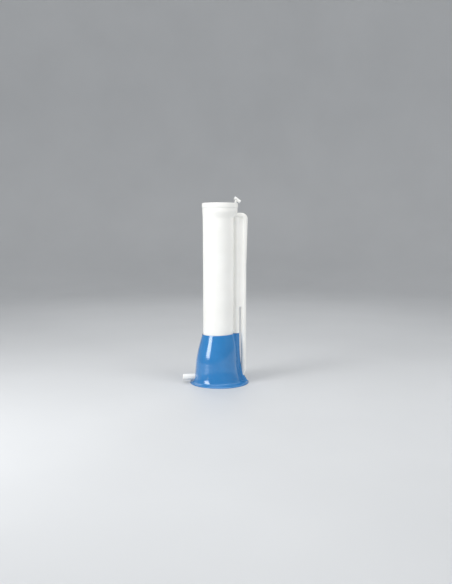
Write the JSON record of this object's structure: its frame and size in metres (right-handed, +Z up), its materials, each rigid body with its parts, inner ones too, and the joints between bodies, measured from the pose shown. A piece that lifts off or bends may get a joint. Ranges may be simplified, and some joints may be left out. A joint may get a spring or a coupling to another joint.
{
  "type": "pipette rinser",
  "caption": "Tall white siphon pipette rinser in a flared blue foot, with a hose inlet, a lift-out support plate and a lift-out perforated pipette basket.",
  "frame": {"origin": "centre of the vessel's flat bottom, on the surface that the rinser stands on", "axes": "+Z up along the vessel's lower chamber, +X towards the siphon"},
  "size_m": [0.2678, 0.239, 0.7472],
  "materials": {
    "white_polyethylene": "satin, slightly waxy",
    "blue_plastic": "glossy moulded",
    "basket_polyethylene": "natural, satin",
    "white_nylon": "satin",
    "coated_rod": "plastic-coated rod",
    "steel_pin": "brushed",
    "seal_rubber": "matte"
  },
  "bodies": {
    "rinser": {"rinser_vessel": "white_polyethylene", "rim_collar": "white_polyethylene", "siphon_tube": "white_polyethylene", "siphon_port_bush": "white_nylon", "foot_skirt": "blue_plastic", "inlet_spigot": "white_nylon", "inlet_seal": "seal_rubber", "inlet_locknut": "white_nylon"},
    "false_bottom": {"support_plate": "basket_polyethylene", "plate_feet": "basket_polyethylene"},
    "basket": {"basket_base": "basket_polyethylene", "basket_sleeve": "basket_polyethylene", "basket_hoop": "basket_polyethylene", "base_rivets": "white_nylon", "hoop_rivets": "white_nylon", "lifting_rod": "coated_rod", "rod_clips": "white_nylon", "rod_nut": "white_nylon", "rod_stop_collar": "white_nylon", "hook_grip": "white_nylon", "hook_pin": "steel_pin"}
  },
  "joints": [
    {"name": "support_plate_lift", "type": "slide", "parent": "rinser", "child": "false_bottom", "axis": [0, 0, 1], "range_m": [0, 0.73]},
    {"name": "basket_lift", "type": "slide", "parent": "false_bottom", "child": "basket", "axis": [0, 0, 1], "range_m": [0, 0.7]}
  ]
}
